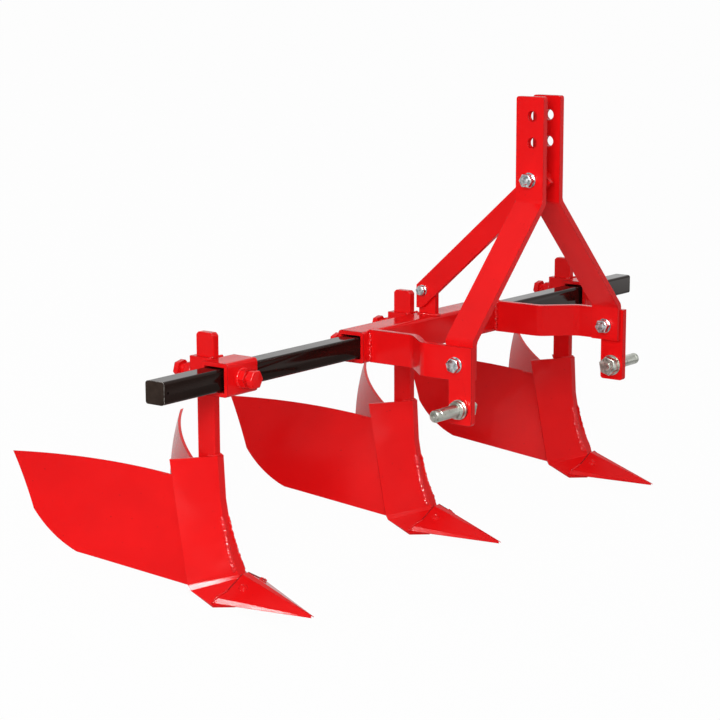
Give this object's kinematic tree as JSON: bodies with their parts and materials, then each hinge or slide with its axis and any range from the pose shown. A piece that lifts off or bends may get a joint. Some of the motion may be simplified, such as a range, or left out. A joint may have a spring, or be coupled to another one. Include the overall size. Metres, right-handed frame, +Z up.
{
  "type": "ridger",
  "caption": "Tractor-mounted ridger: square toolbar with clamped shanks carrying pointed shares and hinged ridging wings, under an A-frame hitch.",
  "frame": {"origin": "centre of the bounding box on the floor, machine resting on its shares and wings", "axes": "+Z up from the floor, +X to the machine's left, +Y to its rear, -Y towards the tractor"},
  "size_m": [1.619, 0.5837, 0.9044],
  "materials": {
    "red_enamel": "glossy enamel",
    "black_paint": "semi-gloss paint",
    "black_plastic": "moulded",
    "zinc_plate": "bright zinc plate"
  },
  "bodies": {
    "hitch_frame": {"brace": "red_enamel", "brace_bolt": "zinc_plate", "brace_lug": "red_enamel", "bracket_left": "red_enamel", "bracket_right": "red_enamel", "foot_bolt_left": "zinc_plate", "foot_bolt_right": "zinc_plate", "link_pin_left": "zinc_plate", "link_pin_right": "zinc_plate", "mast_bolt": "zinc_plate", "mast_spacer_left": "red_enamel", "mast_spacer_right": "red_enamel", "sleeve": "red_enamel", "sleeve_screw_left": "red_enamel", "sleeve_screw_right": "red_enamel", "socket_centre": "red_enamel", "socket_screw_centre": "red_enamel", "strut_left": "red_enamel", "strut_right": "red_enamel"},
    "toolbar": {"toolbar": "black_paint", "toolbar_cap_left": "black_plastic", "toolbar_cap_right": "black_plastic"},
    "clamp_left": {"clamp_left": "red_enamel", "clamp_screw_left": "red_enamel", "socket_left": "red_enamel", "socket_screw_left": "red_enamel"},
    "clamp_right": {"clamp_right": "red_enamel", "clamp_screw_right": "red_enamel", "socket_right": "red_enamel", "socket_screw_right": "red_enamel"},
    "ridging_body_left": {"breast_left": "red_enamel", "frog_left": "red_enamel", "shank_left": "red_enamel", "share_left": "red_enamel", "wing_pin_left_left": "red_enamel", "wing_pin_left_right": "red_enamel"},
    "wing_left_left": {"wing_left_left": "red_enamel"},
    "wing_left_right": {"wing_left_right": "red_enamel"},
    "ridging_body_centre": {"breast_centre": "red_enamel", "frog_centre": "red_enamel", "shank_centre": "red_enamel", "share_centre": "red_enamel", "wing_pin_centre_left": "red_enamel", "wing_pin_centre_right": "red_enamel"},
    "wing_centre_left": {"wing_centre_left": "red_enamel"},
    "wing_centre_right": {"wing_centre_right": "red_enamel"},
    "ridging_body_right": {"breast_right": "red_enamel", "frog_right": "red_enamel", "shank_right": "red_enamel", "share_right": "red_enamel", "wing_pin_right_left": "red_enamel", "wing_pin_right_right": "red_enamel"},
    "wing_right_left": {"wing_right_left": "red_enamel"},
    "wing_right_right": {"wing_right_right": "red_enamel"}
  },
  "joints": [
    {"name": "toolbar_slide", "type": "slide", "parent": "hitch_frame", "child": "toolbar", "axis": [1, 0, 0], "range_m": [-0.04, 0.04]},
    {"name": "clamp_left_slide", "type": "slide", "parent": "toolbar", "child": "clamp_left", "axis": [1, 0, 0], "range_m": [-0.09, 0.12]},
    {"name": "clamp_right_slide", "type": "slide", "parent": "toolbar", "child": "clamp_right", "axis": [-1, 0, 0], "range_m": [-0.09, 0.12]},
    {"name": "depth_left", "type": "slide", "parent": "clamp_left", "child": "ridging_body_left", "axis": [0, 0.2601, 0.9656], "range_m": [-0.03, 0.1]},
    {"name": "depth_centre", "type": "slide", "parent": "hitch_frame", "child": "ridging_body_centre", "axis": [0, 0.2601, 0.9656], "range_m": [-0.03, 0.1]},
    {"name": "depth_right", "type": "slide", "parent": "clamp_right", "child": "ridging_body_right", "axis": [0, 0.2601, 0.9656], "range_m": [-0.03, 0.1]},
    {"name": "wing_left_left_hinge", "type": "hinge", "parent": "ridging_body_left", "child": "wing_left_left", "pos_m": [0.6355, -0.04568, 0.01044], "axis": [0.1189, -0.5147, -0.8491], "range_deg": [-12, 10]},
    {"name": "wing_left_right_hinge", "type": "hinge", "parent": "ridging_body_left", "child": "wing_left_right", "pos_m": [0.5385, -0.04568, 0.01044], "axis": [0.1189, 0.5147, 0.8491], "range_deg": [-12, 10]},
    {"name": "wing_centre_left_hinge", "type": "hinge", "parent": "ridging_body_centre", "child": "wing_centre_left", "pos_m": [0.0485, -0.04216, 0.01044], "axis": [0.1189, -0.5147, -0.8491], "range_deg": [-12, 10]},
    {"name": "wing_centre_right_hinge", "type": "hinge", "parent": "ridging_body_centre", "child": "wing_centre_right", "pos_m": [-0.0485, -0.04216, 0.01044], "axis": [0.1189, 0.5147, 0.8491], "range_deg": [-12, 10]},
    {"name": "wing_right_left_hinge", "type": "hinge", "parent": "ridging_body_right", "child": "wing_right_left", "pos_m": [-0.5385, -0.04568, 0.01044], "axis": [0.1189, -0.5147, -0.8491], "range_deg": [-12, 10]},
    {"name": "wing_right_right_hinge", "type": "hinge", "parent": "ridging_body_right", "child": "wing_right_right", "pos_m": [-0.6355, -0.04568, 0.01044], "axis": [0.1189, 0.5147, 0.8491], "range_deg": [-12, 10]}
  ]
}
